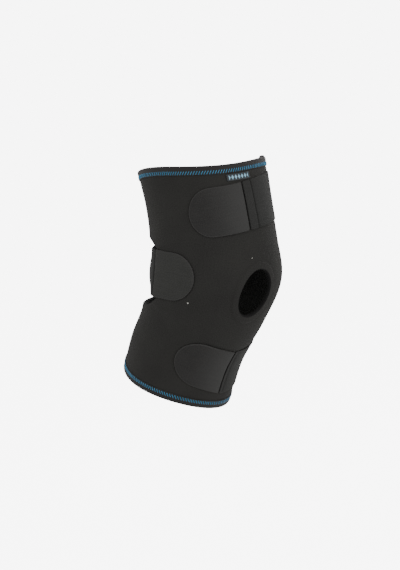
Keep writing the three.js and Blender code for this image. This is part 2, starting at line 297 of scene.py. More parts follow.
def nylon_jersey():
    """Nylon jersey bonded to neoprene foam: a matt knit face with a soft dark grain."""
    material, tree, shader = start_material(
        "nylon_jersey_on_neoprene", Roughness=0.85, Specular_IOR_Level=0.2,
        Sheen_Weight=0.05, Sheen_Roughness=0.5, Sheen_Tint="#bcbab4",
    )
    place = cloth_mm(tree)
    # The real loops are 0.5 mm wide, too fine to show, so they are drawn 1.3 mm wide
    loops = knit_loops(tree, place, wale=1.3, course=1.5)
    speckle = mottling(tree, place, size=1.1)
    patches = mottling(tree, place, size=38.0)
    deep = add(tree, "ShaderNodeMix", {SHARE: loops, LOW: "#1c1b1a", HIGH: "#2a2928"}, data_type="RGBA")
    grain = add(tree, "ShaderNodeMix", {SHARE: speckle, LOW: "#1d1c1b", HIGH: "#2e2d2b"}, data_type="RGBA")
    knit = add(tree, "ShaderNodeMix", {
        SHARE: 0.5, LOW: deep.outputs[MIXED], HIGH: grain.outputs[MIXED],
    }, data_type="RGBA")
    worn = add(tree, "ShaderNodeMath", {0: patches, 1: 0.22}, operation="MULTIPLY")
    colour = add(tree, "ShaderNodeMix", {
        SHARE: worn.outputs[0], LOW: knit.outputs[MIXED], HIGH: "#333330",
    }, data_type="RGBA")
    height = add(tree, "ShaderNodeMath", {0: loops, 1: speckle}, operation="ADD")
    dress(tree, shader, colour.outputs[MIXED], height.outputs[0], strength=0.5, depth=0.22)
    return material


def neoprene_foam():
    """Cut edge of closed-cell neoprene foam: near black, with fine open cells."""
    material, tree, shader = start_material("neoprene_foam_cut", Roughness=0.9, Specular_IOR_Level=0.2)
    place = add(tree, "ShaderNodeTexCoord").outputs["Object"]
    # Cells of 0.3 mm are drawn 0.8 mm wide
    cells = add(tree, "ShaderNodeTexVoronoi", {"Vector": place, "Scale": 1 / (0.8 * MM)})
    depth = cells.outputs["Distance"]
    colour = add(tree, "ShaderNodeMix", {SHARE: depth, LOW: "#0e0e0e", HIGH: "#1d1c1c"}, data_type="RGBA")
    dress(tree, shader, colour.outputs[MIXED], depth, strength=0.5, depth=0.2)
    return material


def lining_jersey():
    """Inner nylon jersey: a plain black knit, flatter than the outer face."""
    material, tree, shader = start_material("nylon_lining_jersey", Roughness=0.88, Specular_IOR_Level=0.2)
    loops = knit_loops(tree, cloth_mm(tree), wale=1.6, course=1.9)
    colour = add(tree, "ShaderNodeMix", {SHARE: loops, LOW: "#232322", HIGH: "#353433"}, data_type="RGBA")
    dress(tree, shader, colour.outputs[MIXED], loops, strength=0.4, depth=0.2)
    return material


def binding_tape():
    """Stretch binding tape, woven with elastic: fine cross ribs and a slight gloss."""
    material, tree, shader = start_material(
        "elastane_binding_tape", Roughness=0.7, Specular_IOR_Level=0.35, Sheen_Weight=0.1,
    )
    place = cloth_mm(tree)
    parts = add(tree, "ShaderNodeSeparateXYZ", {"Vector": place})
    # Elastic ribs of 0.6 mm are drawn 1.2 mm wide
    ribs = even_ribs(tree, parts.outputs["X"], pitch=1.2)
    speckle = mottling(tree, place, size=1.4)
    ribbed = add(tree, "ShaderNodeMix", {SHARE: ribs, LOW: "#0f0d0c", HIGH: "#191716"}, data_type="RGBA")
    colour = add(tree, "ShaderNodeMix", {
        SHARE: speckle, LOW: ribbed.outputs[MIXED], HIGH: "#151312",
    }, data_type="RGBA")
    dress(tree, shader, colour.outputs[MIXED], ribs, strength=0.45, depth=0.2)
    return material


def brushed_loop_cloth(name, dark, light, strip=0.0, sheen_reach=0.0):
    """Loop cloth brushed from knitted nylon: a short even nap that scatters the light.

    Where the strap is sewn down beside its tab, a strip of this width ends in a fold line darkened with
    painted shade.
    A tab's nap is given a painted sheen, paler towards its straight end, over this length.
    """
    material, tree, shader = start_material(
        name, Roughness=0.88, Specular_IOR_Level=0.18,
        Sheen_Weight=0.07, Sheen_Roughness=0.5, Sheen_Tint="#c4c3c0",
    )
    place = cloth_mm(tree)
    # The nap's tufts of 0.4 mm are drawn 0.9 mm wide
    nap = mottling(tree, place, size=0.9, low=0.28, high=0.72, detail=4.0)
    stroke = add(tree, "ShaderNodeMapping", {"Vector": place, "Scale": (0.12, 1.0, 1.0)})
    streaks = mottling(tree, stroke.outputs["Vector"], size=2.2, low=0.35, high=0.65)
    patches = mottling(tree, place, size=16.0)
    napped = add(tree, "ShaderNodeMix", {SHARE: nap, LOW: dark, HIGH: light}, data_type="RGBA")
    streaked = add(tree, "ShaderNodeMath", {0: streaks, 1: 0.25}, operation="MULTIPLY")
    brushed = add(tree, "ShaderNodeMix", {
        SHARE: streaked.outputs[0], LOW: napped.outputs[MIXED], HIGH: dark,
    }, data_type="RGBA")
    faded = add(tree, "ShaderNodeMath", {0: patches, 1: 0.2}, operation="MULTIPLY")
    colour = add(tree, "ShaderNodeMix", {
        SHARE: faded.outputs[0], LOW: brushed.outputs[MIXED], HIGH: light,
    }, data_type="RGBA")
    parts = add(tree, "ShaderNodeSeparateXYZ", {"Vector": place})
    # Painted sheen: the nap is painted paler towards the tab's straight end, where the light catches it
    if sheen_reach:
        paler = add(tree, "ShaderNodeMapRange", {
            "Value": parts.outputs["X"], "From Min": sheen_reach, "From Max": 0.0, "To Max": 0.4,
        }, interpolation_type="SMOOTHSTEP")
        colour = add(tree, "ShaderNodeMix", {
            SHARE: paler.outputs["Result"], LOW: colour.outputs[MIXED], HIGH: "#484847",
        }, data_type="RGBA")
    # Painted shade: the fold line at the strip's end is painted dark
    if strip:
        from_fold = add(tree, "ShaderNodeMath", {0: parts.outputs["X"], 1: strip}, operation="SUBTRACT")
        fold_reach = add(tree, "ShaderNodeMath", {0: from_fold.outputs[0]}, operation="ABSOLUTE")
        fold_shade = add(tree, "ShaderNodeMapRange", {
            "Value": fold_reach.outputs[0], "From Min": 1.1, "From Max": 0.4, "To Max": 0.55,
        })
        colour = add(tree, "ShaderNodeMix", {
            SHARE: fold_shade.outputs["Result"], LOW: colour.outputs[MIXED], HIGH: "#0f0f0e",
        }, data_type="RGBA")
    dress(tree, shader, colour.outputs[MIXED], nap, strength=0.4, depth=0.2)
    return material


def spun_polyester(name, dark, light):
    """Spun polyester sewing thread: twisted plies with a soft lustre."""
    material, tree, shader = start_material(name, Roughness=0.5, Specular_IOR_Level=0.45, Sheen_Weight=0.2)
    parts = add(tree, "ShaderNodeSeparateXYZ", {"Vector": cloth_mm(tree)})
    both = add(tree, "ShaderNodeMath", {0: parts.outputs["X"], 1: parts.outputs["Y"]}, operation="ADD")
    # One turn of the plies each 0.8 mm of thread
    plies = even_ribs(tree, both.outputs[0], pitch=0.8)
    colour = add(tree, "ShaderNodeMix", {SHARE: plies, LOW: dark, HIGH: light}, data_type="RGBA")
    dress(tree, shader, colour.outputs[MIXED], plies, strength=0.5, depth=0.1)
    return material


# The label's figure is a row of lozenges, in millimetres
LOZENGE_PITCH = 3.8
LOZENGE_WIDTH = 2.8
LOZENGE_HEIGHT = 4.8
LOZENGE_REACH = 11.4


def damask_label():
    """Damask-woven polyester label: a black satin ground with a plain light-blue figure."""
    material, tree, shader = start_material(
        "polyester_damask", Roughness=0.55, Specular_IOR_Level=0.4, Sheen_Weight=0.1,
    )
    place = cloth_mm(tree)
    parts = add(tree, "ShaderNodeSeparateXYZ", {"Vector": place})
    along, across = parts.outputs["X"], parts.outputs["Y"]
    beside = add(tree, "ShaderNodeMath", {0: along, 1: LOZENGE_PITCH / 2}, operation="PINGPONG")
    height = add(tree, "ShaderNodeMath", {0: across}, operation="ABSOLUTE")
    beside_share = add(tree, "ShaderNodeMath", {0: beside.outputs[0], 1: LOZENGE_WIDTH / 2},
                       operation="DIVIDE")
    height_share = add(tree, "ShaderNodeMath", {0: height.outputs[0], 1: LOZENGE_HEIGHT / 2},
                       operation="DIVIDE")
    lozenge = add(tree, "ShaderNodeMath", {0: beside_share.outputs[0], 1: height_share.outputs[0]},
                  operation="ADD")
    figure = add(tree, "ShaderNodeMapRange", {
        "Value": lozenge.outputs[0], "From Min": 1.15, "From Max": 0.85,
    })
    reach = add(tree, "ShaderNodeMath", {0: along}, operation="ABSOLUTE")
    inside_row = add(tree, "ShaderNodeMapRange", {
        "Value": reach.outputs[0], "From Min": LOZENGE_REACH + 0.4, "From Max": LOZENGE_REACH,
    })
    shown = add(tree, "ShaderNodeMath", {
        0: figure.outputs["Result"], 1: inside_row.outputs["Result"],
    }, operation="MULTIPLY")
    threads = mottling(tree, place, size=0.7)
    ground = add(tree, "ShaderNodeMix", {SHARE: threads, LOW: "#14171b", HIGH: "#22282e"}, data_type="RGBA")
    light = add(tree, "ShaderNodeMix", {SHARE: threads, LOW: "#4f97ba", HIGH: "#a9d0e0"}, data_type="RGBA")
    colour = add(tree, "ShaderNodeMix", {
        SHARE: shown.outputs[0], LOW: ground.outputs[MIXED], HIGH: light.outputs[MIXED],
    }, data_type="RGBA")
    dress(tree, shader, colour.outputs[MIXED], threads, strength=0.4, depth=0.1)
    return material


def cotton_lint():
    """A tuft of pale cotton lint caught in the knit."""
    material, tree, shader = start_material("cotton_lint", Roughness=0.9)
    place = add(tree, "ShaderNodeTexCoord").outputs["Object"]
    fibres = add(tree, "ShaderNodeTexNoise", {"Vector": place, "Scale": 1 / (0.5 * MM)})
    colour = add(tree, "ShaderNodeMix", {
        SHARE: fibres.outputs["Fac"], LOW: "#a8a6a0", HIGH: "#d8d6d0",
    }, data_type="RGBA")
    tree.links.new(colour.outputs[MIXED], shader.inputs["Base Color"])
    return material


JERSEY = nylon_jersey()
FOAM = neoprene_foam()
LINING = lining_jersey()
BINDING = binding_tape()
UPPER_STRIP = 11.0
LOWER_STRIP = 3.5
MID_TAB_CLOTH = brushed_loop_cloth("brushed_nylon_mid_tab", "#262625", "#3b3b39")
# The hook tabs carry a painted sheen towards their straight ends
TAB_CLOTH = brushed_loop_cloth("brushed_nylon_tab", "#1f1e1e", "#333231", sheen_reach=46.0)
STRAP_CLOTH = brushed_loop_cloth("brushed_nylon_loop", "#212120", "#363635")
UPPER_STRAP_CLOTH = brushed_loop_cloth("brushed_nylon_loop_sewn_down", "#1f1f1e", "#343433", UPPER_STRIP)
# Where a tab is cut its nylon is sealed by heat, which leaves a paler line
CUT_EDGE = brushed_loop_cloth("heat_sealed_nylon_edge", "#2a2929", "#3f3e3d")
BLUE_THREAD = spun_polyester("blue_polyester_thread", "#2478a2", "#439ec8")
LABEL_WEAVE = damask_label()
LINT = cotton_lint()


# Meshes. Points closer together than this become one, in millimetres.
WELD = 0.01


def make_piece(name, points, faces, cloth_places, materials, face_materials=None):
    """A smooth mesh piece from points in millimetres, with its places on the flat cloth as UVs."""
    mesh = bpy.data.meshes.new(name)
    mesh.from_pydata((np.asarray(points) * MM).tolist(), [], [list(map(int, f)) for f in faces])
    layer = mesh.uv_layers.new(name="cloth")
    corners = np.empty(len(mesh.loops), np.int32)
    mesh.loops.foreach_get("vertex_index", corners)
    layer.data.foreach_set("uv", (np.asarray(cloth_places)[corners] * MM).astype(np.float32).ravel())
    for material in materials:
        mesh.materials.append(material)
    if face_materials is not None:
        mesh.polygons.foreach_set("material_index", np.asarray(face_materials, np.int32))
    shape = bmesh.new()
    shape.from_mesh(mesh)
    bmesh.ops.remove_doubles(shape, verts=shape.verts, dist=WELD * MM)
    bmesh.ops.recalc_face_normals(shape, faces=shape.faces)
    shape.to_mesh(mesh)
    shape.free()
    mesh.shade_smooth()
    piece = bpy.data.objects.new(name, mesh)
    bpy.context.scene.collection.objects.link(piece)
    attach(piece, "root")
    return piece


def resample(loop, spacing):
    """A closed loop with its points set evenly, about the spacing apart."""
    closed = np.vstack([loop, loop[:1]])
    travelled = np.concatenate([[0], np.cumsum(length(np.diff(closed, axis=0)))])
    count = max(8, int(round(travelled[-1] / spacing)))
    marks = np.linspace(0, travelled[-1], count, endpoint=False)
    return np.stack([np.interp(marks, travelled, closed[:, k]) for k in range(2)], -1)


def inset(loop, distance):
    """The loop moved to the left of its direction, which is into the cloth."""
    along = np.roll(loop, -1, 0) - np.roll(loop, 1, 0)
    left = np.stack([-along[:, 1], along[:, 0]], -1) / length(along)[:, None]
    return loop + left * distance


def inside(points, loop):
    """Which points lie inside a closed loop."""
    after = np.roll(loop, -1, 0)
    found = np.zeros(len(points), bool)
    for (x0, y0), (x1, y1) in zip(loop, after):
        crosses = (y0 > points[:, 1]) != (y1 > points[:, 1])
        if y0 != y1:
            at = x0 + (points[:, 1] - y0) * (x1 - x0) / (y1 - y0)
            found ^= crosses & (points[:, 0] < at)
    return found


def nearest(points, loop):
    """Distance from each point to a loop's nearest corner."""
    return np.min(length(points[:, None, :] - loop[None, :, :]), axis=1)


# Loose points keep this share of their spacing clear of an edge
CLEAR_SHARE = 0.6


def inner_grid(outline, holes, spacing):
    """Points of an even grid that lie well inside the outline and outside the holes."""
    low, high = outline.min(0), outline.max(0)
    counts = np.maximum(2, np.round((high - low) / spacing).astype(int))
    columns = np.linspace(low[0], high[0], counts[0] + 1)[1:-1]
    rows = np.linspace(low[1], high[1], counts[1] + 1)[1:-1]
    grid = np.stack(np.meshgrid(columns, rows), -1).reshape(-1, 2)
    grid = grid[inside(grid, outline)]
    grid = grid[nearest(grid, outline) > CLEAR_SHARE * spacing]
    for hole in holes:
        grid = grid[~inside(grid, hole)]
        grid = grid[nearest(grid, hole) > CLEAR_SHARE * spacing]
    return grid


def triangulate(loops, loose):
    """Triangles of the cloth inside the first loop and outside the others."""
    points = np.vstack([*loops, loose])
    edges = []
    start = 0
    for loop in loops:
        count = len(loop)
        edges += [(start + k, start + (k + 1) % count) for k in range(count)]
        start += count
    _, _, faces, sources, _, _ = delaunay_2d_cdt([Vector(p) for p in points], edges, [], 1, 1e-7)
    triangles = np.array([[sources[k][0] for k in found] for found in faces])
    middles = points[triangles].mean(1)
    kept = inside(middles, loops[0])
    for hole in loops[1:]:
        kept &= ~inside(middles, hole)
    return points, triangles[kept]


def join_rows(rows):
    """Four-cornered faces between each row of points and the next. Every row is a closed ring."""
    faces = []
    for upper, lower in zip(rows, rows[1:]):
        for j in range(len(upper)):
            after = (j + 1) % len(upper)
            faces.append([upper[j], upper[after], lower[after], lower[j]])
    return faces


# Rounding of a cut edge: how far in from the edge and how deep, as a share of the thickness
ROUNDED = ((0.5, 0.07), (0.15, 0.22), (0.0, 0.5), (0.15, 0.78), (0.5, 0.93))


def rounded_edge(loop, radius, place, outer_row, inner_row, total):
    """Points, places and faces that round a cut edge off between the two faces of the cloth."""
    rings = [inset(loop, radius * share) for share, _ in ROUNDED]
    points = [place(ring, depth) for ring, (_, depth) in zip(rings, ROUNDED)]
    between = [total + k * len(loop) + np.arange(len(loop)) for k in range(len(rings))]
    return points, rings, join_rows([outer_row, *between, inner_row])


def cloth_body(name, loop, spacing, radius, place, materials, crease=None):
    """A closed sheet of cloth. Its two faces share one cut and meet in rounded edges.

    The loop runs anticlockwise, in millimetres on the flat cloth, and place(points, depth) sets
    points in space, depth 0 on the outer face and 1 on the inner one. A crease adds its own points,
    closer together than the rest.
    """
    inner = inset(loop, radius)
    loose = inner_grid(inner, [], spacing)
    if crease is not None:
        loose = np.vstack([loose[nearest(loose, crease) > spacing / 2], crease])
    flat, triangles = triangulate([inner], loose)
    count = len(flat)
    outer_row = np.arange(len(loop))
    points, places, faces = rounded_edge(loop, radius, place, outer_row, outer_row + count, 2 * count)
    kinds = [0] * len(triangles) + [1] * len(faces) + [2] * len(triangles)
    faces = triangles.tolist() + faces + (triangles[:, ::-1] + count).tolist()
    points = [place(flat, 0.0), place(flat, 1.0), *points]
    kinds = np.minimum(kinds, len(materials) - 1)
    return make_piece(name, np.vstack(points), faces, np.vstack([flat, flat, *places]), materials, kinds)


# The neoprene tube. The hole drops and the window rises from the middle of the way down, the
# hole is turned from the front and leans to one side, in millimetres and degrees.
HOLE = {"length": 51.0, "width": 39.0, "drop": 6.5, "turn": 8.0, "lean": 15.0}
WINDOW = {"height": 88.0, "width": 178.0, "rise": 7.0, "roundness": 3.0}
# Hem bands: the flap that shows, the tape's thickness, how far the fold passes the neoprene's end,
# the tape's clearance, and how far and how softly the stitches squeeze the neoprene
HEM_FLAP = 9.5
HEM_CLOTH = 0.8
HEM_FOLD = 1.4
HEM_CLEARANCE = 0.35
HEM_SQUEEZE = 0.7
SQUEEZE_BEYOND = 1.5
SQUEEZE_SLOPE = 2.0
# The top hem stands up to a small peak in front, from just above its stitches
RIM_PEAK = {"around": -32.0, "half_width": 4.0, "height": 2.0}
PEAK_BELOW = 0.5
PEAK_SLOPE = 3.0
# Flat cloth: millimetres for a degree round and for the whole way down, and where it is joined
ROUND_SCALE = 1.15
DOWN_SCALE = 248.0
SEAM_AROUND = -90.0

# Raised border pressed round the kneecap hole, with a groove outside it. Places that aren't near
# the hole count as far from it.
BORDER_WIDTH = 7.0
BORDER_HEIGHT = 0.9
BORDER_SLOPE = 1.6
BORDER_SPACING = 0.8
BORDER_GROOVE = 0.35
GROOVE_BEYOND = 1.3
GROOVE_HALF_WIDTH = 0.9
NEAR_HOLE = 60.0
FAR = 99.0

# Points of the sleeve's mesh: how far its cut edges are rounded, how far apart the points stand,
# and how far out from the hole and the window their rings lie
SLEEVE_ROUNDING = 0.9
SLEEVE_COLUMNS = 196
SLEEVE_ROWS = 112
SLEEVE_SPACING = 2.1
HOLE_SPACING = 2.0
WINDOW_SPACING = 2.4
HOLE_RINGS = (1.8, 3.0, 4.4, 5.6, 6.4, 7.2, 8.2, 9.6, 11.4)
WINDOW_RINGS = (2.6, 4.6)
HOLE_PASSES = 8


def to_flat(down, around):
    """Places on the sleeve's flat cloth from shares down and angles round."""
    top, bottom = tube_edges(around)
    return np.stack([around * ROUND_SCALE, -(down - top) / (bottom - top) * DOWN_SCALE], -1)


def tube_edges(around):
    """Shares down at which the neoprene starts and ends under its hem bands."""
    edge = HEM_FOLD + HEM_CLEARANCE
    return walk_down(0.0, around, edge), walk_down(1.0, around, -edge)


def from_flat(flat):
    """Shares down and angles round from places on the sleeve's flat cloth."""
    around = flat[..., 0] / ROUND_SCALE
    top, bottom = tube_edges(around)
    return top - flat[..., 1] / DOWN_SCALE * (bottom - top), around


def hole_outline(count=72):
    """The kneecap hole's edge: an oval that lies square to the face at its middle."""
    turn = HOLE["turn"]
    down = walk_down(KNEE_MIDDLE, turn, HOLE["drop"])
    middle = face(down, turn)
    normal = on_face(down, turn, 1.0) - middle
    lengthwise = -slope_down(down, turn)
    lengthwise /= length(lengthwise)
    crosswise = np.cross(lengthwise, normal)
    angles = np.linspace(0, 2 * math.pi, count, endpoint=False)
    x = HOLE["width"] / 2 * np.cos(angles)
    y = HOLE["length"] / 2 * np.sin(angles)
    lean = math.radians(HOLE["lean"])
    wanted = np.stack([x * math.cos(lean) + y * math.sin(lean), y * math.cos(lean) - x * math.sin(lean)], -1)
    axes = np.stack([crosswise, lengthwise], -1)
    around = turn - wanted[:, 0] / ROUND_SCALE
    downs = down - wanted[:, 1] / DOWN_SCALE
    # Each pass moves the places nearer to the oval that is wanted
    for _ in range(HOLE_PASSES):
        gap = wanted - (face(downs, around) - middle) @ axes
        by_down = slope_down(downs, around) @ axes
        turned = face(downs, around + STEP_ROUND) - face(downs, around - STEP_ROUND)
        by_round = turned @ axes / (2 * STEP_ROUND)
        spread = by_down[:, 0] * by_round[:, 1] - by_down[:, 1] * by_round[:, 0]
        downs = downs + (gap[:, 0] * by_round[:, 1] - gap[:, 1] * by_round[:, 0]) / spread
        around = around + (by_down[:, 0] * gap[:, 1] - by_down[:, 1] * gap[:, 0]) / spread
    return to_flat(downs, around)


WINDOW_MIDDLE = walk_down(KNEE_MIDDLE, 90.0, -WINDOW["rise"])
WINDOW_HALF_TURN = WINDOW["width"] / 2 / round_rate(WINDOW_MIDDLE, 180.0)


def window_outline(count=360):
    """The window's edge at the back of the bend, a rounded oblong."""
    angles = np.linspace(0, 2 * math.pi, count, endpoint=False)
    power = 2 / WINDOW["roundness"]
    across = np.sign(np.cos(angles)) * np.abs(np.cos(angles)) ** power
    height = np.sign(np.sin(angles)) * np.abs(np.sin(angles)) ** power
    around = 180 + WINDOW_HALF_TURN * across
    down = walk_down(WINDOW_MIDDLE, 90.0 + 0 * around, WINDOW["height"] / 2 * height)
    return to_flat(down, around)


def clockwise(loop):
    """The loop, turned round where it runs anticlockwise."""
    after = np.roll(loop, -1, 0)
    area = np.sum(loop[:, 0] * after[:, 1] - after[:, 0] * loop[:, 1])
    return loop if area < 0 else loop[::-1]


def soft_step(value):
    """Rises from 0 to 1 with level ends."""
    value = np.clip(value, 0, 1)
    return value * value * (3 - 2 * value)


# Tension folds of the neoprene: middle of the fold on the face, its length and half width in
# millimetres, its height, and its turn in degrees from level, rising to the front. They fade out
# over the share of the way down that lies next to each hem.
FOLDS_FROM_HEM = 0.04
FOLD_COLUMNS = ("down", "around", "length", "half_width", "height", "turn")
FOLD_ROWS = (
    (0.318, 94, 40, 2.2, 1.0, 8),
    (0.352, 84, 26, 1.8, 0.5, 4),
    (0.614, 88, 40, 2.6, 0.9, -8),
    (0.660, 70, 60, 7.0, 0.6, -14),
    (0.240, 95, 50, 8.0, 0.6, 12),
    (0.700, 30, 50, 8.0, 0.4, 20),
)


def fold_relief(down, around):
    """Outward swell of the folds, in millimetres."""
    swell = np.zeros(np.shape(down))
    for values in FOLD_ROWS:
        row = dict(zip(FOLD_COLUMNS, values))
        x = (around - row["around"]) * ROUND_SCALE
        y = -(down - row["down"]) * DOWN_SCALE
        turn = math.radians(row["turn"])
        along = x * math.cos(turn) - y * math.sin(turn)
        across = x * math.sin(turn) + y * math.cos(turn)
        reach = soft_step(1.3 - 2 * np.abs(along) / row["length"])
        swell += row["height"] * reach * np.exp(-((across / row["half_width"]) ** 2))
    return swell


def sleeve_outline():
    """The sleeve's flat cloth, anticlockwise from its upper corner at the seam."""
    left = SEAM_AROUND * ROUND_SCALE
    right = (SEAM_AROUND + 360) * ROUND_SCALE
    across = np.linspace(left, right, SLEEVE_COLUMNS + 1)
    down = np.linspace(0, -DOWN_SCALE, SLEEVE_ROWS + 1)
    return np.vstack([
        np.stack([np.full(SLEEVE_ROWS, left), down[:-1]], -1),
        np.stack([across[:-1], np.full(SLEEVE_COLUMNS, -DOWN_SCALE)], -1),
        np.stack([np.full(SLEEVE_ROWS, right), down[::-1][:-1]], -1),
        np.stack([across[::-1][:-1], np.zeros(SLEEVE_COLUMNS)], -1),
    ])


def border_relief(points, hole, hole_edge):
    """Height of the raised border round the kneecap hole, with the groove outside it."""
    from_hole = np.full(len(points), FAR)
    near = length(points - hole.mean(0)) < NEAR_HOLE
    if near.any():
        from_hole[near] = nearest(points[near], hole_edge)
    raised = soft_step((BORDER_WIDTH + BORDER_SLOPE / 2 - from_hole) / BORDER_SLOPE)
    beyond = (from_hole - BORDER_WIDTH - GROOVE_BEYOND) / GROOVE_HALF_WIDTH
    return BORDER_HEIGHT * raised - BORDER_GROOVE * np.exp(-(beyond ** 2))


def build_sleeve():
    """The neoprene tube, cut flat with its hole and window and then set round the form."""
    hole = clockwise(resample(hole_outline(), HOLE_SPACING))
    window = clockwise(resample(window_outline(), WINDOW_SPACING))
    hole_edge = resample(hole, BORDER_SPACING)
    outline = sleeve_outline()
    inner = [outline, inset(hole, SLEEVE_ROUNDING), inset(window, SLEEVE_ROUNDING)]
    hole_rings = [inset(hole, distance) for distance in HOLE_RINGS]
    window_rings = [inset(window, distance) for distance in WINDOW_RINGS]
    loose = inner_grid(outline, [hole_rings[-1], window_rings[-1]], SLEEVE_SPACING)
    flat, triangles = triangulate(inner, np.vstack([loose, *hole_rings, *window_rings]))

    def place(points, depth):
        downs, around = from_flat(points)
        border = border_relief(points, hole, hole_edge)
        pressed = pressed_share(downs, around)
        swell = fold_relief(downs, around) * (1 - pressed) - PRESS * pressed
        fade = soft_step(np.minimum(downs, 1 - downs) / FOLDS_FROM_HEM - 1)
        from_hem = np.minimum(-points[:, 1], DOWN_SCALE + points[:, 1]) + HEM_FOLD + HEM_CLEARANCE
        squeeze = HEM_SQUEEZE * soft_step((HEM_FLAP + SQUEEZE_BEYOND - from_hem) / SQUEEZE_SLOPE)
        out = swell * fade + border * (1 - depth) - depth * WALL - squeeze * (1 - 2 * depth)
        return on_face(downs, around, out)

    points = [place(flat, 0.0), place(flat, 1.0)]
    places = [flat, flat]
    count = len(flat)
    faces = triangles.tolist() + (triangles[:, ::-1] + count).tolist()
    kinds = [0] * len(triangles) + [2] * len(triangles)
    # The two ends, which the hem bands cover, are closed with one row of faces each
    for start in (SLEEVE_ROWS, 2 * SLEEVE_ROWS + SLEEVE_COLUMNS):
        for k in range(start, start + SLEEVE_COLUMNS):
            after = (k + 1) % len(outline)
            faces.append([k, after, after + count, k + count])
    total = 2 * count
    start = len(outline)
    for loop in (hole, window):
        row = start + np.arange(len(loop))
        edge_points, rings, edge_faces = rounded_edge(loop, SLEEVE_ROUNDING, place, row, row + count, total)
        points += edge_points
        places += rings
        faces += edge_faces
        total += len(loop) * len(rings)
        start += len(loop)
    kinds += [1] * (len(faces) - len(kinds))
    piece = make_piece("sleeve_shell", np.vstack(points), faces, np.vstack(places),
                       [JERSEY, FOAM, LINING], kinds)
    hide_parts("sleeve")
    return piece


# Hem bands and their stitching
HEM_COLUMNS = 240
STITCH_TOP = 5.3
STITCH_BOTTOM = 9.0
STITCH_PITCH = 2.9
THREAD_RADIUS = 0.29
THREAD_SIDES = 6
HEM_SURFACE = HEM_CLEARANCE + HEM_CLOTH
FOLD_TURN = 75.0

# The flap's outer face, from its free edge to the fold: distance from the hem, and lift
FLAP_COURSE = (
    (HEM_FLAP, -0.45), (HEM_FLAP, -0.12), (HEM_FLAP - 0.25, 0.0), (HEM_FLAP - 0.8, 0.0),
    (7.0, -0.02), (5.0, -0.02), (4.2, 0.1), (3.0, 0.22), (2.0, 0.18), (HEM_FOLD, 0.05),
)


def hem_profile():
    """The band's closed outline: distance from the hem and distance out from the outer face."""
    half = WALL / 2 - HEM_SQUEEZE + HEM_SURFACE
    flap = [(away, half + lift) for away, lift in FLAP_COURSE]
    turns = np.radians(np.linspace(FOLD_TURN, -FOLD_TURN, 11))
    fold = [(HEM_FOLD * (1 - math.cos(t)), half * math.sin(t)) for t in turns]
    inner_half = WALL / 2 - HEM_SQUEEZE + HEM_CLEARANCE
    inside_faces = [
        (HEM_FLAP, -inner_half), (HEM_FOLD, -inner_half), (HEM_FOLD, inner_half), (HEM_FLAP, inner_half),
    ]
    outline = flap + fold + [(away, -out) for away, out in reversed(flap)] + inside_faces
    return np.array([(away, out - WALL / 2) for away, out in outline])


def build_hem(name, node, hem, way):
    """A hem band, swept round the sleeve. Way is 1 down from the top hem and -1 up from the bottom."""
    profile = hem_profile()
    around = np.arange(HEM_COLUMNS) * 360 / HEM_COLUMNS
    travelled = np.concatenate([[0], np.cumsum(length(np.diff(profile, axis=0)))])
    turned = (around - RIM_PEAK["around"] + 180) % 360 - 180
    peak = RIM_PEAK["height"] * np.exp(-((turned / RIM_PEAK["half_width"]) ** 2)) if way > 0 else 0 * around
    points = []
    places = []
    for (away, out), walked in zip(profile, travelled):
        lifted = peak * soft_step((STITCH_TOP - PEAK_BELOW - away) / PEAK_SLOPE)
        down = walk_down(hem, around, way * away - lifted)
        points.append(on_face(down, around, out + 0 * around))
        places.append(np.stack([around * ROUND_SCALE, np.full(HEM_COLUMNS, walked)], -1))
    rows = [k * HEM_COLUMNS + np.arange(HEM_COLUMNS) for k in range(len(profile))]
    faces = join_rows([*rows, rows[0]])
    piece = make_piece(name, np.vstack(points), faces, np.vstack(places), [BINDING])
    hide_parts(node)
    return piece


def thread_mesh(path, outward, radius):
    """A closed thread swept along a looping path. Outward gives the face's normal at each point."""
    along = np.roll(path, -1, 0) - np.roll(path, 1, 0)
    along /= length(along)[:, None]
    side = np.cross(along, outward)
    side /= length(side)[:, None]
    lift = np.cross(side, along)
    turns = np.arange(THREAD_SIDES) * 2 * math.pi / THREAD_SIDES
    rings = (path[:, None, :] + radius * (
        np.cos(turns)[None, :, None] * side[:, None, :] + np.sin(turns)[None, :, None] * lift[:, None, :]
    )).reshape(-1, 3)
    travelled = np.concatenate([[0], np.cumsum(length(np.diff(path, axis=0)))])
    places = np.stack([np.repeat(travelled, THREAD_SIDES), np.tile(turns * radius, len(path))], -1)
    rows = [k * THREAD_SIDES + np.arange(THREAD_SIDES) for k in range(len(path))]
    return rings, join_rows([*rows, rows[0]]), places


# One stitch: share of the pitch, share of the width and height over the tape. A slanting stroke
# lies on top, and the steeper way back to the next one is drawn into the tape.
STITCH_COURSE = (
    (0.0, 0.0, -0.35), (0.1, 0.08, 0.05), (0.5, 0.5, 0.14), (0.86, 0.92, 0.05),
    (0.93, 1.0, -0.35), (0.95, 0.8, -0.5), (0.96, 0.5, -0.5), (0.98, 0.15, -0.5),
)


def build_zigzag(name, hem, way, out):
    """Zigzag stitches that hold the hem band down, one thread all the way round."""
    girth = float(np.sum(length(np.diff(face(hem, np.linspace(0, 360, 361)), axis=0))))
    stitches = int(round(girth / STITCH_PITCH))
    around = []
    away = []
    lift = []
    for k in range(stitches):
        for share, height, raised in STITCH_COURSE:
            around.append((k + share) / stitches * 360)
            away.append(STITCH_TOP + height * (STITCH_BOTTOM - STITCH_TOP))
            lift.append(raised)
    around = np.array(around)
    down = walk_down(hem, around, way * np.array(away))
    outs = out + np.sign(out + WALL / 2) * np.array(lift)
    path = on_face(down, around, outs)
    outward = on_face(down, around, outs + 1) - path
    points, faces, places = thread_mesh(path, outward, THREAD_RADIUS)
    piece = make_piece(name, points, faces, places, [BLUE_THREAD])
    return piece


# Straps and their hook tabs
STRAP_CLOTH_THICKNESS = 1.7
TAB_THICKNESS = 1.7
# A tab swells from its edge to its middle, over this width
TAB_CROWN = 0.35
CROWN_SLOPE = 5.0
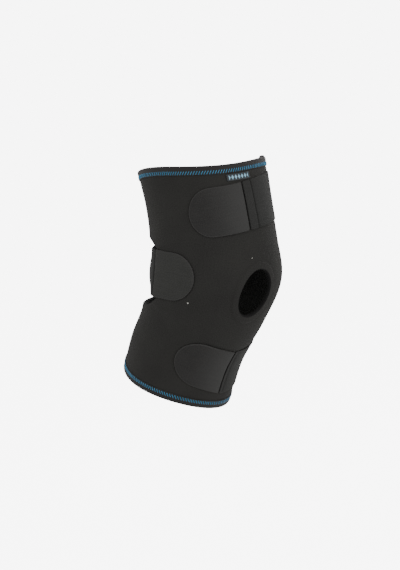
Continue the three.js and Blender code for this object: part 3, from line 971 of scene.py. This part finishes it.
# The fold line of a strap, beside the strip that is sewn down
FOLD_DEPTH = 0.8
FOLD_HALF_WIDTH = 0.8
FOLD_STEPS = (-1.5, -0.75, 0.0, 0.75, 1.5)
FOLD_FROM_EDGE = 2.8
FOLD_SPACING = 2.0
DIP_SLOPE = 1.2
# Gap between each tab's straight end and its strap, the least where the window lies behind it
SEAM_GAPS = {"upper": 1.4, "mid": 0.7, "lower": 1.9}
# The straps press the neoprene in by this much and lie this far clear of it
PRESS = 1.0
LAID = 0.35
PRESS_EDGE_OUTSIDE = 2.0
PRESS_EDGE = 3.0
# The middle strap sinks into the window, curls in at its edges and slants in at the lower one.
# It starts to sink and has sunk at these shares of the window's half width from the back.
STRAP_SINK = 3.4
SINK_START = 0.84
SINK_END = 0.58
SINK_SOONER = 0.08
STRAP_SLANT = 4.4
STRAP_CURL = 6.0
CURL_SHARE = 0.75
# The label, its drop below the hem band and its turn from the front
LABEL = {"width": 28.0, "height": 7.0, "cloth": 0.8, "drop": 1.4, "turn": 15.0}
LABEL_TO_STRAP = 2.1
HEM_TO_LOWER_STRAP = 9.1
UPPER_WIDTH = 50.0
MID_WIDTH = 50.0
LOWER_WIDTH = 53.0
MID_RISE = 10.0
TOP_TO_UPPER_STRAP = HEM_FLAP + LABEL["drop"] + LABEL["height"] + LABEL_TO_STRAP

# Straps and tabs: where on the way down each is measured from, and how far below that its middle
# line lies at the seam between strap and tab, then its sizes, the angles of the seam and of the
# sewn end, and how steeply tab and strap run down from the seam.
STRAP_COLUMNS = (
    "name", "start", "middle_drop", "width", "tab_length", "seam", "end", "tab_slope", "strap_slope",
)
STRAP_ROWS = (
    ("upper", 0.0, TOP_TO_UPPER_STRAP + UPPER_WIDTH / 2, UPPER_WIDTH, 60.0, 13.5, -75.0, 0.08, -0.08),
    ("mid", KNEE_MIDDLE, -MID_RISE, MID_WIDTH, 54.0, 110.0, 275.0, 0.0, 0.036),
    ("lower", 1.0, -(HEM_FLAP + HEM_TO_LOWER_STRAP + LOWER_WIDTH / 2), LOWER_WIDTH, 61.0, 2.5, -85.0,
     -0.143, -0.09),
)
KNEE_ROUND_RATE = math.pi * KNEE["width"] / 360
# Degrees walked back from each seam, more than the longest tab takes up
TAB_REACH = 80.0
PATH_STEPS = 500
STRAPS = [dict(zip(STRAP_COLUMNS, row)) for row in STRAP_ROWS]


def way_of(strap):
    """Which way round the strap runs from its tab, 1 or -1."""
    return math.copysign(1, strap["end"] - strap["seam"])


def strap_middle(strap, around):
    """Shares down at the middle line of a strap and its tab."""
    on_strap = (around - strap["seam"]) * way_of(strap) > 0
    slope = np.where(on_strap, strap["strap_slope"], strap["tab_slope"])
    travelled = np.abs(around - strap["seam"]) * KNEE_ROUND_RATE
    return walk_down(strap["start"], around, strap["middle_drop"] + slope * travelled)


def strap_path(strap):
    """Angles along a strap and its tab, and the length walked to each from the seam between them."""
    beyond = way_of(strap) * TAB_REACH
    around = np.linspace(strap["seam"] - beyond, strap["end"] + beyond / 10, PATH_STEPS)
    line = face(strap_middle(strap, around), around)
    walked = np.concatenate([[0], np.cumsum(length(np.diff(line, axis=0)))])
    from_seam = (around - strap["seam"]) * way_of(strap)
    return around, walked - np.interp(0.0, from_seam, walked)


for strap in STRAPS:
    strap["path"] = strap_path(strap)
    strap["run"] = float(np.interp(
        strap["end"] * way_of(strap), strap["path"][0] * way_of(strap), strap["path"][1],
    ))


def walk_round(strap, distance):
    """Angles reached along the middle line: distances on the strap are above 0, on the tab below."""
    around, walked = strap["path"]
    return np.interp(distance, walked, around)


def pressed_share(down, around):
    """How far each place of the neoprene is pressed in by the straps and tabs, from 0 to 1."""
    share = np.zeros(np.shape(down))
    for strap in STRAPS:
        angles, walked = strap["path"]
        turned = np.where(around < angles.min(), around + 360, around)
        order = np.argsort(angles)
        along = np.interp(turned, angles[order], walked[order])
        middle = strap_middle(strap, turned)
        across = (down - middle) * length(slope_down(middle, turned))
        half = strap["width"] / 2
        straight = strap["tab_length"] - half
        from_side = half - np.abs(across)
        from_end = np.where(along > 0, strap["run"] - along, from_side)
        on_curve = -along > straight
        from_curve = half - np.hypot(-along - straight, across)
        inside_by = np.where(on_curve, from_curve, np.minimum(from_side, from_end))
        share = np.maximum(share, soft_step((inside_by + PRESS_EDGE_OUTSIDE) / PRESS_EDGE))
    return share


def strap_sink(strap, around, across_share):
    """How far in the middle strap lies where the window is behind it, and the share of its sinking."""
    if strap["name"] != "mid":
        return 0 * around, 0 * around
    from_back = np.abs(around - 180) / WINDOW_HALF_TURN
    lower_share = (1 - across_share) / 2
    sunk = soft_step((SINK_START + SINK_SOONER * lower_share - from_back) / (SINK_START - SINK_END))
    curl = STRAP_CURL * np.maximum(0, 1 - (from_back / CURL_SHARE) ** 2)
    return sunk * (STRAP_SINK + STRAP_SLANT * lower_share) + curl * across_share ** 2, sunk


def oblong(low, high, half, corner):
    """An anticlockwise oblong with small rounded corners."""
    quarter = np.radians(np.linspace(0, 90, 5))
    loop = []
    for (x, y), start in (((high, half), 0), ((low, half), 90), ((low, -half), 180), ((high, -half), 270)):
        centre = (x - math.copysign(corner, x - (low + high) / 2), y - math.copysign(corner, y))
        for angle in quarter + math.radians(start):
            loop.append((centre[0] + corner * math.cos(angle), centre[1] + corner * math.sin(angle)))
    return np.array(loop)


def tab_outline(tab_length, half, corner):
    """An anticlockwise D: straight end at 0, half-round free end."""
    straight = tab_length - half
    loop = []
    for angle in np.radians(np.linspace(-90, 90, 41)):
        loop.append((straight + half * math.cos(angle), half * math.sin(angle)))
    for start, y in ((90, half), (180, -half)):
        centre = (corner, y - math.copysign(corner, y))
        for angle in np.radians(np.linspace(start, start + 90, 5)):
            loop.append((centre[0] + corner * math.cos(angle), centre[1] + corner * math.sin(angle)))
    return np.array(loop)


def build_tab(strap):
    """A D-shaped hook tab, laid on the neoprene."""
    half = strap["width"] / 2
    cloth = MID_TAB_CLOTH if strap["name"] == "mid" else TAB_CLOTH
    loop = resample(tab_outline(strap["tab_length"], half, corner=1.6), 1.6)

    def place(points, depth):
        around = walk_round(strap, -points[:, 0] - SEAM_GAPS[strap["name"]] / 2)
        down = walk_down(strap_middle(strap, around), around, -points[:, 1])
        crown = TAB_CROWN * soft_step(nearest(points, loop) / CROWN_SLOPE)
        out = LAID - PRESS + (TAB_THICKNESS + crown) * (1 - depth)
        return on_face(down, around, out)

    piece = cloth_body(f"{strap['name']}_hook_tab", loop, spacing=2.4, radius=1.0, place=place,
                       materials=[cloth, CUT_EDGE, cloth])
    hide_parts(f"{strap['name']}_tab")
    return piece


# Each strap's cloth, its cut edge, and the strip that is sewn down beside its tab
STRAP_LOOKS = {
    "upper": {"cloth": UPPER_STRAP_CLOTH, "edge": UPPER_STRAP_CLOTH, "strip": UPPER_STRIP, "dip": 0.15},
    "mid": {"cloth": STRAP_CLOTH, "edge": STRAP_CLOTH, "strip": 0.0, "dip": 0.0},
    "lower": {"cloth": STRAP_CLOTH, "edge": CUT_EDGE, "strip": LOWER_STRIP, "dip": 0.15},
}


def crease_points(along, half):
    """Rows of points across a strap, close together where it is creased."""
    edge = half - FOLD_FROM_EDGE
    across = np.arange(-edge, edge + 0.1, FOLD_SPACING)
    return np.array([(along + step, y) for step in FOLD_STEPS for y in across])


def build_strap(strap):
    """A strap from its seam to its sewn end, sunk where the window is behind it."""
    half = strap["width"] / 2
    half_gap = SEAM_GAPS[strap["name"]] / 2
    run = strap["run"] - half_gap
    loop = resample(oblong(0.0, run, half, corner=1.2), 2.0)
    look = STRAP_LOOKS[strap["name"]]
    strip = look["strip"]

    def place(points, depth):
        along = points[:, 0]
        around = walk_round(strap, along + half_gap)
        down = walk_down(strap_middle(strap, around), around, -points[:, 1])
        sink, sunk = strap_sink(strap, around, points[:, 1] / half)
        lowered = look["dip"] * (1 - soft_step((along - strip) / DIP_SLOPE))
        if strip:
            lowered = lowered + FOLD_DEPTH * np.exp(-(((along - strip) / FOLD_HALF_WIDTH) ** 2))
        out = LAID - PRESS * (1 - sunk) + (STRAP_CLOTH_THICKNESS - lowered) * (1 - depth) - sink
        return on_face(down, around, out)

    crease = crease_points(strip, half) if strip else None
    piece = cloth_body(f"{strap['name']}_strap_band", loop, spacing=2.4, radius=0.9, place=place,
                       materials=[look["cloth"], look["edge"], look["cloth"]], crease=crease)
    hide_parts(f"{strap['name']}_strap")
    return piece


def build_label():
    """The small woven label under the top hem band."""
    half = LABEL["width"] / 2
    tall = LABEL["height"] / 2
    turn = LABEL["turn"]
    top = HEM_FLAP + LABEL["drop"]
    rate = float(round_rate(walk_down(0.0, turn, top), turn))
    loop = resample(oblong(-half, half, tall, corner=0.3), 0.9)

    def place(points, depth):
        around = turn - points[:, 0] / rate
        down = walk_down(0.0, around, top + tall - points[:, 1])
        return on_face(down, around, HEM_CLEARANCE + LABEL["cloth"] * (1 - depth))

    piece = cloth_body("woven_label", loop, spacing=1.4, radius=0.25, place=place, materials=[LABEL_WEAVE])
    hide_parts("label")
    return piece


# Specks of lint: share down, angle round and size. Each is one looped fibre, bulged by three and
# five lobes, flattened, and curled off the face that it stands clear of.
SPECKS = ((0.558, 68.0, 1.0), (0.385, 15.0, 0.8))
SPECK_POINTS = 48
SPECK_CLEARANCE = 0.5
THREE_LOBES = 0.35
FIVE_LOBES = 0.2
SPECK_FLATTENED = 0.8
SPECK_CURL = 0.25


def build_specks():
    """Tiny curled tufts of lint that stand on the face."""
    points = []
    faces = []
    places = []
    total = 0
    for speck, (down, around, size) in enumerate(SPECKS):
        centre = on_face(np.array(down), np.array(around), np.array(SPECK_CLEARANCE))
        normal = on_face(np.array(down), np.array(around), np.array(SPECK_CLEARANCE + 1.0)) - centre
        turns = np.linspace(0, 2 * math.pi, SPECK_POINTS, endpoint=False)
        wobble = 1 + THREE_LOBES * np.sin(3 * turns + speck) + FIVE_LOBES * np.sin(5 * turns)
        side = np.cross(normal, [0, 0, 1.0])
        side /= length(side)
        up = np.cross(side, normal)
        loop = centre + size / 2 * wobble[:, None] * (
            np.cos(turns)[:, None] * side + np.sin(turns)[:, None] * up * SPECK_FLATTENED
        ) + normal * (SPECK_CURL * np.sin(4 * turns))[:, None]
        rings, found, flat = thread_mesh(loop, np.tile(normal, (len(loop), 1)), size / 4)
        points.append(rings)
        places.append(flat)
        faces += [[k + total for k in f] for f in found]
        total += len(rings)
    piece = make_piece("lint_specks", np.vstack(points), faces, np.vstack(places), [LINT])
    return piece


build_sleeve()
top_hem = build_hem("top_hem_band", "top_binding", 0.0, 1)
bottom_hem = build_hem("bottom_hem_band", "bottom_binding", 1.0, -1)
OUTSIDE = HEM_SURFACE - HEM_SQUEEZE + 0.1
INSIDE = -WALL - OUTSIDE
top_threads = [
    build_zigzag("top_zigzag", 0.0, 1, OUTSIDE),
    build_zigzag("top_zigzag_inside", 0.0, 1, INSIDE),
]
bottom_threads = [
    build_zigzag("bottom_zigzag", 1.0, -1, OUTSIDE),
    build_zigzag("bottom_zigzag_inside", 1.0, -1, INSIDE),
]
for strap in STRAPS:
    build_strap(strap)
    build_tab(strap)
build_label()
build_specks()


# Stage: a pale paper floor with walls far off, and soft studio lights
PAPER_GLOW = 7.0


def pale_paper():
    """Seamless studio paper, lit from behind until it is almost white."""
    material, tree, shader = start_material("studio_paper", Roughness=0.95, Emission_Strength=PAPER_GLOW)
    place = add(tree, "ShaderNodeTexCoord").outputs["Object"]
    grain = add(tree, "ShaderNodeTexNoise", {"Vector": place, "Scale": 3.0})
    colour = add(tree, "ShaderNodeMix", {
        SHARE: grain.outputs["Fac"], LOW: "#f8f8f8", HIGH: "#fbfbfb",
    }, data_type="RGBA")
    for socket in ("Base Color", "Emission Color"):
        tree.links.new(colour.outputs[MIXED], shader.inputs[socket])
    return material


FLOOR_LEVEL = -0.46
WALL_TOP = 9.0
STAGE_HALF = 30.0


def build_floor():
    """A wide floor of studio paper that turns up into walls on its four sides."""
    corners = [(-STAGE_HALF, -STAGE_HALF), (STAGE_HALF, -STAGE_HALF), (STAGE_HALF, STAGE_HALF),
               (-STAGE_HALF, STAGE_HALF)]
    points = [(x, y, z) for z in (FLOOR_LEVEL, WALL_TOP) for x, y in corners]
    walls = [(k, (k + 1) % 4, (k + 1) % 4 + 4, k + 4) for k in range(4)]
    mesh = bpy.data.meshes.new("floor")
    mesh.from_pydata(points, [], [(0, 1, 2, 3), *walls])
    mesh.materials.append(pale_paper())
    floor = bpy.data.objects.new("floor", mesh)
    floor.visible_diffuse = False
    floor.visible_glossy = False
    bpy.context.scene.collection.objects.link(floor)


# Softboxes: metres back to the camera, to its right and up, the side in metres, and the watts
SOFTBOXES = (
    ("key", 1.3, 1.6, 0.3, 1.2, 18.0),
    ("fill", 1.6, -1.6, 0.4, 1.4, 13.0),
    ("rim", -1.2, 0.9, 0.9, 1.0, 8.0),
)
ROOM_LIGHT = 0.79


def add_softbox(name, place, side, watts):
    """A square soft light turned to the sleeve."""
    data = bpy.data.lights.new(name, "AREA")
    data.shape = "SQUARE"
    data.size = side
    data.energy = watts
    light = bpy.data.objects.new(name, data)
    light.location = place
    light.rotation_euler = place.to_track_quat("Z", "Y").to_euler()
    bpy.context.scene.collection.objects.link(light)


def studio_light():
    """Three softboxes and an even white room."""
    back, right, up = camera_directions()
    for name, behind, beside, above, side, watts in SOFTBOXES:
        add_softbox(name, back * behind + right * beside + up * above, side, watts)
    world = bpy.data.worlds.new("studio")
    world.use_nodes = True
    world.node_tree.nodes["Background"].inputs["Color"].default_value = (1, 1, 1, 1)
    world.node_tree.nodes["Background"].inputs["Strength"].default_value = ROOM_LIGHT
    bpy.context.scene.world = world


build_floor()
studio_light()
